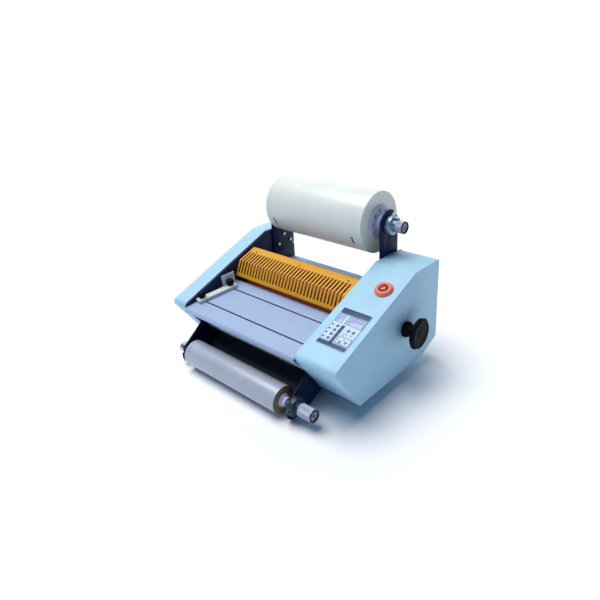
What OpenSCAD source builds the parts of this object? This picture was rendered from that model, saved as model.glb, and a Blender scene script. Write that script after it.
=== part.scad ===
// Desktop roll laminator: two film rolls on open hooks, a slotted roller guard,
// four nip rollers with a cam lift, a gear train and a sloping control cover.
// The origin is the middle of the whole machine's footprint, on the table.
// +X is to the operator's right, +Y is away from the operator, +Z is up.

/* [Frame] */
// Clear width between the two side plates
throat_w = 380; // [372:2:400]
// Thickness of each side plate
plate_t = 5; // [4:0.5:6]
// Width of the right side cover
right_cover_w = 108; // [104:1:120]
// Width of the left side cover
left_cover_w = 48; // [40:1:60]
// Thickness of the cover sheet
sheet_t = 2; // [1.5:0.25:2.5]
// Height of the covers above the table
foot_h = 35; // [30:1:40]

/* [Side profile] */
// Angle of the sloping top of the covers
slope_a = 20.7; // [19:0.1:22]
// Distance from the nose to the back of the covers
cover_depth = 401; // [400:1:410]
// Height of the nose
nose_z = 162; // [160:1:164]
// Distance from the nose to the top of the slope
knee_y = 296; // [290:1:300]

/* [Rollers] */
// Radius of the four rubber rollers
roller_r = 19.85; // [19:0.05:19.85]
// Height of the nip between the rollers
nip_z = 168; // [167:0.5:169]
// Distance from the nose to the front pair of rollers
front_y = 215; // [213:1:217]
// How far the upper rollers lift
lift = 4; // [3:0.5:4]

/* [Film rolls] */
// Width of the film
film_w = 320; // [300:5:330]
// Radius of the upper film roll
upper_film_r = 78; // [60:1:80]
// Radius of the lower film roll
lower_film_r = 33; // [25:1:35]

/* [Controls] */
// Radius of the pressure knob
knob_r = 38; // [34:1:40]
// How far the pressure knob stands out of the right cover
knob_out = 45; // [42:1:50]
// Radius of the stop button's round shroud
shroud_r = 22; // [20:1:24]
// Travel of the stop button
stop_travel = 4; // [2:0.5:4]
// Radius of each panel key
key_r = 3.4; // [3:0.1:3.8]

/* [Guard] */
// Number of slots in the guard
slot_count = 33; // [20:1:33]
// Width of each slot
slot_w = 5.5; // [3:0.5:6]

/* [Hidden] */
$fn = 48;

// Places shared by several pieces; a pair is [distance from the nose, height]
plate_in = throat_w / 2;
plate_out = plate_in + plate_t;
right_face = plate_out + right_cover_w;
left_face = plate_out + left_cover_w;
knob_face = right_face + knob_out;
nose_back = 5;
nose_sharp = [-nose_back, nose_z - nose_back * tan(slope_a)];
knee = [knee_y, nose_z + knee_y * tan(slope_a)];
top_z = knee[1] - 2;
chamfer = [339, 61];
belly_y = 80;
cam_at = [253, 148];
upper_at = [354, 351];
lower_at = [-12, 40];
idler_at = [64, 84];

// Middle of the machine's footprint
box_x = (knob_face - left_face) / 2;
box_y = (upper_at[0] + upper_film_r + lower_at[0] - lower_film_r) / 2;

// Rollers and gears
shaft_r = 7;
fit = 0.05;
axis_gap = 20;
low_z = nip_z - axis_gap;
high_z = nip_z + axis_gap;
gear_m = 1.5;
roller_teeth = 30;
transfer_teeth = 60;
pinion_teeth = 20;
rear_y = front_y + 87;
mid_y = (front_y + rear_y) / 2;
roller_mesh = gear_m * (roller_teeth + transfer_teeth) / 2;
transfer_at = [mid_y, low_z - sqrt(pow(roller_mesh, 2) - pow(mid_y - front_y, 2))];
pinion_dir = 200;
pinion_mesh = gear_m * (pinion_teeth + transfer_teeth) / 2;
pinion_at = transfer_at + pinion_mesh * [cos(pinion_dir), sin(pinion_dir)];
gear_in = plate_out + 13;
gear_w = 8;
yoke_in = plate_out + 2;
yoke_w = 6;
yoke_top = high_z + 16;
cam_r = 8;
cam_gap = 1.2;
cam_shaft_r = 6;
bush_r = 10;
roller_half = 175;

// Feed table, guard and panel
table_a = atan(12 / 117);
table_z = 156;
table_y = 4;
table_bend = 141;
table_end = [174, nip_z + 1.5];
table_t = 2;
roll_r = 8;
track_s = [43, 126];
track_w = 4.4;
guard_back = [243, 244];
guard_bend = [187, 224];
guard_foot = [168.5, 185];
guard_half = plate_in - 4;
guard_t = 1.5;
guard_pin_at = [236, 236];
slot_pitch = 10.9;
slot_shift = -3;
panel_x = [210, 288];
panel_s = [51, 160];
panel_t = 1.2;
stop_at = [264, 240];
spring_shelf_z = 229;
exit_y = rear_y + 27;
exit_z = nip_z - 5;
pan_front = [belly_y + 6, foot_h + 2];
pan_fold = [340, foot_h + 2];
pan_back = [cover_depth - 4, foot_h + 26];
apron_tip = [38, 15];
hook_x = [plate_in - 5, plate_in];

// ---- Shared functions and shapes ----

function unit(v) = v / norm(v);

// Signed turn from angle a to angle b, the short way round
function short_turn(a, b) = let (t = b - a) t > 180 ? t - 360 : t < -180 ? t + 360 : t;

// Points of the arc of radius r that rounds corner b between a and c
function rounded(a, b, c, r, steps = 5) =
    let (
        u = unit(a - b),
        v = unit(c - b),
        half = acos(u * v) / 2,
        centre = b + unit(u + v) * r / sin(half),
        p = b + u * r / tan(half) - centre,
        q = b + v * r / tan(half) - centre,
        start = atan2(p[1], p[0]),
        turn = short_turn(start, atan2(q[1], q[0]))
    )
    [for (i = [0:steps]) centre + r * [cos(start + turn * i / steps), sin(start + turn * i / steps)]];

// Corner b moved inwards by d from both of its edges
function inset_corner(a, b, c, d) =
    let (u = unit(a - b), v = unit(c - b)) b + unit(u + v) * d / sin(acos(u * v) / 2);

// Corners of the side profile, with the back edge moved out by extra
function corners(extra) = [nose_sharp, knee, [cover_depth + extra, top_z],
    [cover_depth + extra, chamfer[1]], [chamfer[0], foot_h], [belly_y, foot_h]];
corner_radii = [12, 8, 5, 4, 6, 6];

// The side profile, set in by d all round, with rounded corners
function profile(d, extra = 0) =
    let (
        c = corners(extra),
        n = len(c),
        m = [for (i = [0:n - 1]) inset_corner(c[(i + n - 1) % n], c[i], c[(i + 1) % n], d)]
    )
    [for (i = [0:n - 1]) each
        rounded(m[(i + n - 1) % n], m[i], m[(i + 1) % n], corner_radii[i] - d)];

module in_frame() translate([-box_x, -box_y, 0]) children();

// Draws a (distance, height) outline as a plate from x0 to x1
module along_x(x0, x1) translate([x0, 0, 0]) rotate([90, 0, 90]) linear_extrude(x1 - x0) children();

// A round bar along X
module bar(x0, x1, at, r) translate([x0, at[0], at[1]]) rotate([0, 90, 0]) cylinder(h = x1 - x0, r = r);

// A round tube along X
module tube(x0, x1, at, r, bore) difference() {
    bar(x0, x1, at, r);
    bar(x0 - 1, x1 + 1, at, bore);
}

module mirrored() mirror([1, 0, 0]) children();

module both_sides() {
    children();
    mirrored() children();
}

// Local frame on the covers' slope: x across, y up the slope from the nose, z outwards
module on_slope(x, s) translate([x, s * cos(slope_a), nose_z + s * sin(slope_a)])
    rotate([slope_a, 0, 0]) children();

// Local frame on the feed table: x across, y along the table, z outwards
module on_table(x, s) translate([x, table_y + s * cos(table_a), table_z + s * sin(table_a)])
    rotate([table_a, 0, 0]) children();

// ---- Side plates, covers and base ----

module lift_slot(y) translate([y, high_z]) {
    circle(r = shaft_r + 1.3);
    translate([0, lift + 0.5]) circle(r = shaft_r + 1.3);
    translate([-shaft_r - 1.3, 0]) square([2 * shaft_r + 2.6, lift + 0.5]);
}

module side_plate() {
    along_x(plate_in, plate_out) difference() {
        polygon(profile(1.5, 7));
        for (y = [front_y, rear_y]) {
            translate([y, low_z]) circle(r = bush_r);
            lift_slot(y);
        }
        translate(cam_at) circle(r = bush_r);
        translate(idler_at) circle(r = 4 + fit);
    }
    // Shelf that the pressure springs push against
    translate([plate_out, front_y - 12, spring_shelf_z]) cube([14, rear_y - front_y + 24, 3]);
}

module left_side_plate() color([0.07, 0.12, 0.26]) {
    difference() {
        mirrored() side_plate();
        bar(-plate_out - 1, -plate_in + 1, pinion_at, 8);
    }
    bar(-gear_in - gear_w - 2, -plate_out + 0.5, transfer_at, 6);
}

module right_side_plate() color([0.07, 0.12, 0.26]) side_plate();

module cover_shell(width) difference() {
    along_x(plate_out, plate_out + width) polygon(profile(0));
    along_x(plate_out - 1, plate_out + width - sheet_t) polygon(profile(sheet_t));
}

module left_cover() color([0.72, 0.88, 0.95]) mirrored() cover_shell(left_cover_w);

inlet_at = [250, 98];
inlet_cut = [28, 56];

// Rim of the right cover that laps over the edge of the side plate
lap_end = 385;
module plate_lap() along_x(plate_in + 0.4, plate_out + 1) difference() {
    polygon(profile(0));
    polygon(profile(1.3));
    translate([lap_end, 0]) square(2 * knee[1]);
    translate([chamfer[0] - 15, 0]) square(chamfer[1] + 30);
}

module right_cover() color([0.72, 0.88, 0.95]) difference() {
    union() {
        cover_shell(right_cover_w);
        plate_lap();
    }
    bar(right_face - sheet_t - 1, right_face + 1, cam_at, cam_shaft_r + 2);
    on_slope(panel_x[0] + 5, panel_s[0] + 5) translate([0, 0, -10])
        cube([panel_x[1] - panel_x[0] - 10, panel_s[1] - panel_s[0] - 10, 20]);
    on_slope(stop_at[0], stop_at[1]) translate([0, 0, -10]) cylinder(h = 20, r = 11);
    translate([inlet_at[0] - inlet_cut[0] / 2, cover_depth - 10, inlet_at[1] - inlet_cut[1] / 2])
        cube([inlet_cut[0], 20, inlet_cut[1]]);
}

// Sheet under the machine with a front wall, a fold along the chamfer at the back and
// an apron that slopes down behind the lower film roll; it is cut back round the lower arms
module base_pan() color([0.12, 0.12, 0.14]) difference() {
    along_x(-plate_in, plate_in) polygon([
        pan_front + [0, 46], pan_front + [0, 2.2], apron_tip + [-0.8, 1.8], apron_tip, pan_front,
        pan_fold, pan_back, pan_back + [-0.78, 1.85],
        inset_corner(pan_front, pan_fold, pan_back, 2), pan_front + [2, 2], pan_front + [2, 46]]);
    both_sides() translate([hook_x[0] - 0.5, apron_tip[0] - 5, 0]) cube([10, 80, 100]);
}

// Exit table and back wall, folded from one sheet, with a row of cooling slots
module rear_cover() color([0.68, 0.84, 0.95]) difference() {
    union() {
        translate([-plate_in, exit_y, exit_z]) cube([throat_w, cover_depth - exit_y, 2]);
        translate([-plate_in, cover_depth - 2, foot_h + 27]) cube([throat_w, 2, exit_z - foot_h - 25]);
    }
    for (i = [0:9]) translate([(i - 4.5) * 16 - 2.5, cover_depth - 5, 90]) cube([5, 10, 40]);
}

module rubber_feet() color([0.08, 0.08, 0.09]) for (x = [-150, 150], y = [130, 310])
    translate([x, y, 0]) {
        cylinder(h = 6, r1 = 19, r2 = 20);
        translate([0, 0, 6]) cylinder(h = foot_h + 2 - 6, r1 = 20, r2 = 15);
    }

// ---- Feed table and side guide ----

module table_track(s) on_table(-plate_in + 4, s) translate([0, -track_w / 2, -4])
    cube([throat_w - 14, track_w, 8]);

// Section of the table: a sloping sheet rolled over at its front edge, with a return lip
// below, and bent level at the back where it runs under the guard to the nip
function table_outline() =
    let (
        out = [-sin(table_a), cos(table_a)],
        front = [table_y, table_z],
        bend = front + table_bend * [cos(table_a), sin(table_a)],
        centre = front - roll_r * out,
        turns = [for (i = [0:8]) 90 + table_a + (180 - table_a) * i / 8]
    )
    concat(
        [table_end, bend],
        [for (a = turns) centre + roll_r * [cos(a), sin(a)]],
        [centre + [12, -roll_r], centre + [12, table_t - roll_r]],
        [for (i = [8:-1:0]) centre + (roll_r - table_t) * [cos(turns[i]), sin(turns[i])]],
        [inset_corner(front, bend, table_end, table_t), table_end - [0, table_t]]);

module feed_table() color([0.66, 0.75, 0.92]) difference() {
    along_x(-plate_in, plate_in) polygon(table_outline());
    for (s = track_s) table_track(s);
}

guide_at = [-179, track_s[0]];
guide_skew = 11;
guide_h = 9;
guide_bar = [-5.5, 14];
upright_v = [69, 107];
stud_gap = (track_s[1] - track_s[0]) / cos(guide_skew);
stud_r = 2;

// Local frame of the guide, clamped slightly askew: x across it, y from the front screw to the rear one
module on_guide() on_table(guide_at[0], guide_at[1]) rotate([0, 0, -guide_skew]) children();

module side_guide() color([0.86, 0.88, 0.84]) on_guide() difference() {
    union() {
        translate([guide_bar[0], -15, 0.3]) cube([guide_bar[1] - guide_bar[0], stud_gap + 28, guide_h]);
        // Flange with an upright plate that reaches back under the guard
        translate([-14, upright_v[0], 0.3]) cube([10, upright_v[1] - upright_v[0], 3]);
        translate([-14, upright_v[0], 0.3]) cube([2, upright_v[1] - upright_v[0], 36]);
    }
    for (v = [0, stud_gap]) translate([0, v, -1]) cylinder(h = guide_h + 3, r = stud_r + fit);
}

module thumb_screw(v) color([0.05, 0.05, 0.06]) on_guide() translate([0, v, 0]) {
    translate([0, 0, -7]) cylinder(h = guide_h + 10, r = stud_r);
    translate([0, 0, -6]) cylinder(h = 3.5, r = 6, $fn = 6);
    translate([0, 0, guide_h + 0.6]) cylinder(h = 3, r = 5);
    translate([0, 0, guide_h + 3.6]) cylinder(h = 12, r = 10.3);
}

module guide_knob_front() thumb_screw(0);

module guide_knob_rear() thumb_screw(stud_gap);

// ---- Arms that hold the film rolls ----

module upper_arm() color([0.07, 0.10, 0.20]) along_x(hook_x[0], hook_x[1]) difference() {
    union() {
        translate([318, 200]) square([73, upper_at[1] - 200]);
        translate([upper_at[0] + 0.5, upper_at[1]]) circle(r = 36.5);
    }
    translate(upper_at) {
        circle(r = 9.8);
        rotate(40) translate([0, -9.8]) square([60, 19.6]);
    }
}

module upper_right_arm() upper_arm();

module upper_left_arm() mirrored() upper_arm();

module lower_arm() color([0.07, 0.10, 0.20]) along_x(hook_x[0], hook_x[1]) difference() {
    polygon([[112, 120], [62, 116], [37, 97], [-28, 47.5], [-31, 40], [-32, 22], [-28, 11],
        [-20, 4], [-8, 2], [10, 3.5], [42, 11], [84, 30], [112, 62]]);
    translate(lower_at) circle(r = 5.8);
    translate([-60, lower_at[1] - 4.3]) square([60 + lower_at[0], 11.6]);
    translate(idler_at) circle(r = 11);
}

module lower_right_arm() lower_arm();

module lower_left_arm() mirrored() lower_arm();

// ---- Rollers, bushes and lift ----

module roller(y, z, left_end, right_end) {
    bar(-left_end, right_end, [y, z], shaft_r);
    bar(-roller_half, roller_half, [y, z], roller_r);
}

module front_lower_roller() color([0.80, 0.45, 0.25])
    roller(front_y, low_z, gear_in + gear_w + 2, plate_out + 2);

module rear_lower_roller() color([0.80, 0.45, 0.25])
    roller(rear_y, low_z, gear_in + gear_w + 2, plate_out + 2);

module front_upper_roller() color([0.80, 0.45, 0.25])
    roller(front_y, high_z, yoke_in + yoke_w + 1, yoke_in + yoke_w + 1);

module rear_upper_roller() color([0.80, 0.45, 0.25])
    roller(rear_y, high_z, yoke_in + yoke_w + 1, yoke_in + yoke_w + 1);

module bush(at, bore) difference() {
    bar(plate_in - 1, plate_out + 1, at, bush_r);
    bar(plate_in - 2, plate_out + 2, at, bore);
}

module bearing_bushes() color([0.70, 0.55, 0.30]) both_sides() {
    bush([front_y, low_z], shaft_r + fit);
    bush([rear_y, low_z], shaft_r + fit);
    bush(cam_at, cam_shaft_r + fit);
}

module yoke() along_x(yoke_in, yoke_in + yoke_w) difference() {
    union() {
        translate([front_y - 15, high_z - 12]) square([rear_y - front_y + 30, 12 + yoke_top - high_z]);
        translate([cam_at[0] - 8, cam_at[1] + cam_r + cam_gap]) square([16, 30]);
    }
    for (y = [front_y, rear_y]) translate([y, high_z]) circle(r = shaft_r + fit);
}

module lift_yokes() color([0.55, 0.57, 0.60]) both_sides() yoke();

module cam_shaft() color([0.75, 0.76, 0.78]) {
    bar(-yoke_in - yoke_w - 1, right_face + 20, cam_at, cam_shaft_r);
    both_sides() bar(yoke_in, yoke_in + yoke_w, cam_at + [lift, 0], cam_r);
}

module lift_knob() color([0.04, 0.04, 0.05]) translate([right_face, cam_at[0], cam_at[1]])
    rotate([0, 90, 0]) difference() {
        rotate_extrude() polygon([[0, 1], [19, 1], [19, 11], [15, 16], [14, 26], [22, 31],
            [knob_r, 34], [knob_r, knob_out - 3], [knob_r - 4, knob_out], [0, knob_out]]);
        translate([0, 0, -1]) cylinder(h = 21, r = cam_shaft_r + fit);
    }

// A spring's wire as a six-sided tube along a helix
function spring_points(r, wire, height, turns, steps) = [for (i = [0:turns * steps]) for (k = [0:5])
    let (a = 360 * i / steps, b = 60 * k)
    [(r + wire * cos(b)) * cos(a), (r + wire * cos(b)) * sin(a), height * i / (turns * steps) + wire * sin(b)]];

module coil_spring(r, wire, height, turns) {
    steps = 12;
    rings = turns * steps;
    polyhedron(points = spring_points(r, wire, height, turns, steps), faces = concat(
        [[for (k = [0:5]) k]],
        [[for (k = [5:-1:0]) rings * 6 + k]],
        [for (i = [0:rings - 1]) for (k = [0:5])
            [i * 6 + k, (i + 1) * 6 + k, (i + 1) * 6 + (k + 1) % 6, i * 6 + (k + 1) % 6]]), convexity = 10);
}

module pressure_springs() color([0.60, 0.62, 0.66]) both_sides() for (y = [front_y, rear_y])
    translate([yoke_in + yoke_w / 2 + 4, y, yoke_top + 1.2])
        coil_spring(4.5, 0.9, spring_shelf_z - yoke_top - 2.4, 5);

// ---- Gears and motor ----

// Angle of a partner gear's first tooth, so that it meshes at direction dir
function mesh_phase(drive, driven, phase, dir) =
    dir + 180 - (drive / driven) * (phase - dir) - 180 / driven;

module gear(at, teeth, phase, bore) {
    pitch_r = gear_m * teeth / 2;
    root = pitch_r - 1.3 * gear_m;
    tip = pitch_r + 0.9 * gear_m;
    step = 360 / teeth;
    along_x(-gear_in - gear_w, -gear_in) translate(at) difference() {
        polygon([for (i = [0:teeth - 1]) let (a = phase + i * step) each [
            root * [cos(a - 0.30 * step), sin(a - 0.30 * step)],
            tip * [cos(a - 0.10 * step), sin(a - 0.10 * step)],
            tip * [cos(a + 0.10 * step), sin(a + 0.10 * step)],
            root * [cos(a + 0.30 * step), sin(a + 0.30 * step)]]]);
        if (bore > 0) circle(r = bore);
    }
}

function direction(from, to) = atan2(to[1] - from[1], to[0] - from[0]);

module roller_gear(y) color([0.72, 0.60, 0.35]) gear([y, low_z], roller_teeth,
    mesh_phase(transfer_teeth, roller_teeth, 0, direction(transfer_at, [y, low_z])), shaft_r + 0.02);

module front_roller_gear() roller_gear(front_y);

module rear_roller_gear() roller_gear(rear_y);

module transfer_gear() color([0.86, 0.84, 0.78]) gear(transfer_at, transfer_teeth, 0, 6 + fit);

module motor_pinion() color([0.75, 0.76, 0.78]) {
    gear(pinion_at, pinion_teeth, mesh_phase(transfer_teeth, pinion_teeth, 0, pinion_dir), 0);
    bar(-gear_in - 1, -plate_in + 10, pinion_at, 5);
}

module drive_motor() color([0.45, 0.46, 0.48]) difference() {
    union() {
        bar(-plate_in, -plate_in + 32, pinion_at, 31);
        bar(-plate_in + 32, -plate_in + 96, pinion_at, 27);
        bar(-plate_in + 96, -plate_in + 102, pinion_at, 12);
    }
    bar(-plate_in - 1, -plate_in + 12, pinion_at, 5 + fit);
}

module film_idler() color([0.62, 0.60, 0.58]) {
    bar(-plate_out + 1, plate_out - 1, idler_at, 4);
    bar(-plate_in + 3, plate_in - 3, idler_at, 9);
}

// ---- Guard ----

// One fold of the guard's outline, offset inwards by its thickness
module guard_sheet() along_x(-guard_half, guard_half) polygon([guard_foot, guard_bend, guard_back,
    inset_corner(guard_bend, guard_back, guard_back + [2, -6], guard_t),
    inset_corner(guard_foot, guard_bend, guard_back, guard_t), guard_foot + [guard_t * 1.2, -0.3]]);

// A slot that runs down the sloping top, over the bend and down the front
module guard_slot(x) {
    top_len = norm(guard_back - guard_bend);
    top_a = direction(guard_bend, guard_back);
    front_len = norm(guard_foot - guard_bend);
    front_a = direction(guard_foot, guard_bend);
    translate([x - slot_w / 2, guard_bend[0], guard_bend[1]]) rotate([top_a, 0, 0])
        translate([0, -2, -8]) cube([slot_w, top_len * 0.64 + 2, 20]);
    translate([x - slot_w / 2, guard_bend[0], guard_bend[1]]) rotate([front_a - 180, 0, 0])
        translate([0, -1, -12]) cube([slot_w, front_len * 0.78 + 1, 20]);
}

module guard_ear() along_x(guard_half - 2, guard_half) difference() {
    polygon([guard_bend + [2, -1], guard_back + [-1, -1.5], guard_back + [0, -14], [guard_bend[0] + 36, 222],
        guard_bend + [3, -8]]);
    translate(guard_pin_at) circle(r = 3 + fit);
}

module roller_guard() color([0.95, 0.68, 0.22]) {
    difference() {
        guard_sheet();
        for (i = [0:slot_count - 1]) guard_slot((i - (slot_count - 1) / 2) * slot_pitch + slot_shift);
    }
    both_sides() guard_ear();
}

module guard_pins() color([0.70, 0.71, 0.73]) both_sides() {
    bar(guard_half - 3, plate_in, guard_pin_at, 3);
    bar(guard_half + 0.4, plate_in, guard_pin_at, 5);
}

// ---- Controls ----

module key_hole(x, s) translate([x, s, -12]) cylinder(h = 20, r = key_r + 0.3);

// Key places on the panel as [across, up the slope]
preset_x = 230;
preset_s = [107, 95, 83, 71];
up_at = [262, 104];
down_at = [275, 104];
run_at = [261, 71];
halt_at = [275, 74];

module panel_overlay() color([0.88, 0.93, 0.96]) difference() {
    on_slope(panel_x[0], panel_s[0])
        cube([panel_x[1] - panel_x[0], panel_s[1] - panel_s[0], panel_t]);
    on_slope(0, 0) {
        for (s = preset_s) key_hole(preset_x, s);
        for (p = [up_at, down_at, run_at, halt_at]) key_hole(p[0], p[1]);
        translate([216, 119.5, -12]) cube([13.5, 18, 20]);
        translate([243.5, 119.5, -12]) cube([39, 18, 20]);
    }
}

module display_windows() color([0.62, 0.66, 0.90]) on_slope(0, 0) {
    translate([216, 119.5, -3]) cube([13.5, 18, 3.8]);
    translate([243.5, 119.5, -3]) cube([39, 18, 3.8]);
}

module key(p) color([0.16, 0.24, 0.42]) on_slope(p[0], p[1]) {
    translate([0, 0, -1.5]) cylinder(h = 3.2, r = key_r);
    translate([0, 0, 1.7]) cylinder(h = 0.5, r1 = key_r, r2 = key_r - 0.5);
}

module key_preset_1() key([preset_x, preset_s[0]]);

module key_preset_2() key([preset_x, preset_s[1]]);

module key_preset_3() key([preset_x, preset_s[2]]);

module key_preset_4() key([preset_x, preset_s[3]]);

module key_up() key(up_at);

module key_down() key(down_at);

module key_run() key(run_at);

module key_stop() key(halt_at);

module control_board() color([0.10, 0.35, 0.20]) on_slope(panel_x[0] + 3, panel_s[0] + 3) {
    translate([0, 0, -13.6]) cube([panel_x[1] - panel_x[0] - 6, panel_s[1] - panel_s[0] - 6, 1.6]);
    for (x = [0, panel_x[1] - panel_x[0] - 8.5], y = [0, panel_s[1] - panel_s[0] - 8.5])
        translate([x + 1, y + 1, -12]) cylinder(h = 10, r = 1);
    translate([6, 60, -12]) cube([60, 26, 6]);
    translate([20, 12, -24]) cube([30, 34, 10.4]);
}

module stop_shroud() color([0.90, 0.50, 0.40]) on_slope(stop_at[0], stop_at[1]) difference() {
    union() {
        cylinder(h = 3, r = shroud_r);
        translate([0, 0, 3]) cylinder(h = 5, r1 = shroud_r, r2 = shroud_r - 4);
        translate([0, 0, -30]) cylinder(h = 30.3, r = 10.9);
    }
    translate([0, 0, 0.6]) cylinder(h = 12, r = 12);
    translate([0, 0, -16]) cylinder(h = 20, r = 5.5);
}

module stop_button() color([0.60, 0.10, 0.16]) on_slope(stop_at[0], stop_at[1]) rotate_extrude()
    polygon([[0, -9], [5, -9], [5, 5], [11.2, 5], [11.2, 8], [9, 9.7], [5, 10.7], [0, 11]]);

module power_inlet() color([0.06, 0.06, 0.07]) translate([inlet_at[0], cover_depth, inlet_at[1]])
    difference() {
        union() {
            translate([-16, 0, -30]) cube([32, 2, 60]);
            translate([-inlet_cut[0] / 2 + 0.2, -26, -inlet_cut[1] / 2 + 0.2])
                cube([inlet_cut[0] - 0.4, 26, inlet_cut[1] - 0.4]);
        }
        // Recess of the mains connector, with its three blades left standing
        difference() {
            translate([-12, -14, -25]) cube([24, 17, 19]);
            for (x = [-7, 7]) translate([x - 1, -14, -16]) cube([2, 13, 4]);
            translate([-1, -14, -12]) cube([2, 13, 4]);
        }
        // Well of the rocker switch
        translate([-7.4, -9, 5.7]) cube([14.8, 12, 18.6]);
    }

rocker_at = [cover_depth - 1, 113];
rocker_tilt = 8;

module power_rocker() color([0.72, 0.08, 0.10]) translate([inlet_at[0], rocker_at[0], rocker_at[1]])
    rotate([-rocker_tilt, 0, 0]) along_x(-7, 7) polygon([[-3, -8.3], [1.8, -8.3], [0.6, 0], [1.8, 8.3], [-3, 8.3]]);

// ---- Film rolls ----

knob_x = 214;
thread_end = 229;

module upper_shaft() color([0.72, 0.73, 0.76]) {
    bar(-plate_out - 12, knob_x, upper_at, 9.5);
    bar(knob_x, thread_end, upper_at, 6);
    bar(-plate_in - 12, -plate_in - 2, upper_at, 14);
}

module upper_core() color([0.66, 0.52, 0.38]) tube(-film_w / 2, film_w / 2, upper_at, 43.8, 38.1);

module upper_film() color([0.95, 0.96, 0.98]) tube(-film_w / 2, film_w / 2, upper_at, upper_film_r, 43.8);

// One end chuck: a hub inside the core, a drilled flange and a neck
module chuck(at, hub, flange, neck, bore, holes) {
    difference() {
        union() {
            bar(film_w / 2 - 34, film_w / 2, at, hub);
            bar(film_w / 2, film_w / 2 + 4, at, flange);
            bar(film_w / 2 + 4, film_w / 2 + 14, at, neck);
        }
        bar(film_w / 2 - 40, film_w / 2 + 20, at, bore);
        for (i = [0:holes - 1]) let (a = 360 * i / holes + 15)
            bar(film_w / 2 - 4, film_w / 2 + 6, at + (neck + flange) / 2 * [cos(a), sin(a)], flange / 14);
    }
}

module upper_chucks() color([0.62, 0.62, 0.80]) both_sides() chuck(upper_at, 38.05, 43, 20, 9.5, 9);

collar_x = [plate_in + 1.5, plate_in + 14];
upper_collar_r = 23.5;
lower_collar_r = 23;

// Friction brake: a collar and a short stiff spring
module brake(at, collar_r, spring_r, bore) {
    tube(collar_x[0], collar_x[1], at, collar_r, bore);
    for (i = [0:3]) tube(collar_x[1] + i * 2.5, collar_x[1] + 2 + i * 2.5, at, spring_r, bore);
    tube(collar_x[1], collar_x[1] + 9.5, at, spring_r - 1.2, bore);
}

module upper_brake() color([0.50, 0.56, 0.66]) {
    brake(upper_at, upper_collar_r, 15.5, 9.5);
    // Clamping bolt that stands out of the collar's face
    bar(collar_x[1] - 1, collar_x[1] + 14, upper_at + [0, upper_collar_r - 4], 3);
}

module tension_knob(at, length, r, bore) difference() {
    union() {
        bar(knob_x, knob_x + length, at, r);
        bar(knob_x + length, knob_x + length + 3.5, at, r - 1);
    }
    bar(knob_x - 1, thread_end + 1, at, bore);
    bar(knob_x + length, knob_x + length + 6, at, r - 4);
}

module upper_tension_knob() color([0.80, 0.81, 0.84]) tension_knob(upper_at, 18, 15.5, 6 + fit);

module lower_shaft() color([0.72, 0.73, 0.76]) {
    bar(-film_w / 2 - 15, film_w / 2 + 15, lower_at, 6.2);
    bar(-plate_out - 18, knob_x, lower_at, 5.5);
    bar(knob_x, thread_end, lower_at, 4.5);
    bar(-plate_in - 17, -plate_in - 2, lower_at, 13.5);
}

module lower_core() color([0.45, 0.34, 0.24]) tube(-film_w / 2, film_w / 2, lower_at, 16.5, 12.9);

module lower_film() color([0.78, 0.80, 0.88]) tube(-film_w / 2, film_w / 2, lower_at, lower_film_r, 16.5);

module lower_chucks() color([0.62, 0.62, 0.80]) both_sides() chuck(lower_at, 12.85, 16, 11, 6.2, 0);

module lower_brake() color([0.50, 0.56, 0.66]) {
    brake(lower_at, lower_collar_r, 15, 5.5);
    // Set screw on the collar's front
    translate([collar_x[0] + 6, lower_at[0] - lower_collar_r + 1, lower_at[1]])
        rotate([90, 0, 0]) cylinder(h = 6, r = 3.5);
}

module lower_tension_knob() color([0.80, 0.81, 0.84]) tension_knob(lower_at, 36, 15.2, 4.5 + fit);

// ---- Fasteners ----

module inner_screw(at) bar(hook_x[0] - 2.5, hook_x[0], at, 4);

module frame_screws() color([0.60, 0.61, 0.64]) both_sides() {
    for (p = [[361, 249], [386, 224], [338, 223], [92, 102], [100, 74], [72, 108]]) inner_screw(p);
    for (p = [[324, 213 - 20], [400, 209]]) bar(plate_in - 2.5, plate_in, p, 4);
}

in_frame() left_side_plate();
in_frame() right_side_plate();
in_frame() left_cover();
in_frame() right_cover();
in_frame() base_pan();
in_frame() rear_cover();
in_frame() feed_table();
in_frame() upper_left_arm();
in_frame() upper_right_arm();
in_frame() lower_left_arm();
in_frame() lower_right_arm();
in_frame() rubber_feet();
in_frame() panel_overlay();
in_frame() display_windows();
in_frame() stop_shroud();
in_frame() power_inlet();
in_frame() power_rocker();
in_frame() bearing_bushes();
in_frame() control_board();
in_frame() drive_motor();
in_frame() frame_screws();
in_frame() guard_pins();
in_frame() pressure_springs();
in_frame() roller_guard();
in_frame() side_guide();
in_frame() guide_knob_front();
in_frame() guide_knob_rear();
in_frame() stop_button();
in_frame() key_preset_1();
in_frame() key_preset_2();
in_frame() key_preset_3();
in_frame() key_preset_4();
in_frame() key_up();
in_frame() key_down();
in_frame() key_run();
in_frame() key_stop();
in_frame() front_lower_roller();
in_frame() front_upper_roller();
in_frame() rear_lower_roller();
in_frame() rear_upper_roller();
in_frame() front_roller_gear();
in_frame() rear_roller_gear();
in_frame() transfer_gear();
in_frame() motor_pinion();
in_frame() lift_yokes();
in_frame() cam_shaft();
in_frame() lift_knob();
in_frame() film_idler();
in_frame() upper_shaft();
in_frame() upper_core();
in_frame() upper_film();
in_frame() upper_chucks();
in_frame() upper_brake();
in_frame() upper_tension_knob();
in_frame() lower_shaft();
in_frame() lower_core();
in_frame() lower_film();
in_frame() lower_chucks();
in_frame() lower_brake();
in_frame() lower_tension_knob();
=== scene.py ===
"""Looks of the desktop roll laminator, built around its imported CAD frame.

Lengths in the helper functions are millimetres in the machine's own frame: x from the middle
between the side plates, y back from the covers' nose, z up from the table. at() turns them
into metres in the row frame.
"""

import math

import bmesh
import bpy
from mathutils import Matrix, Vector


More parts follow.
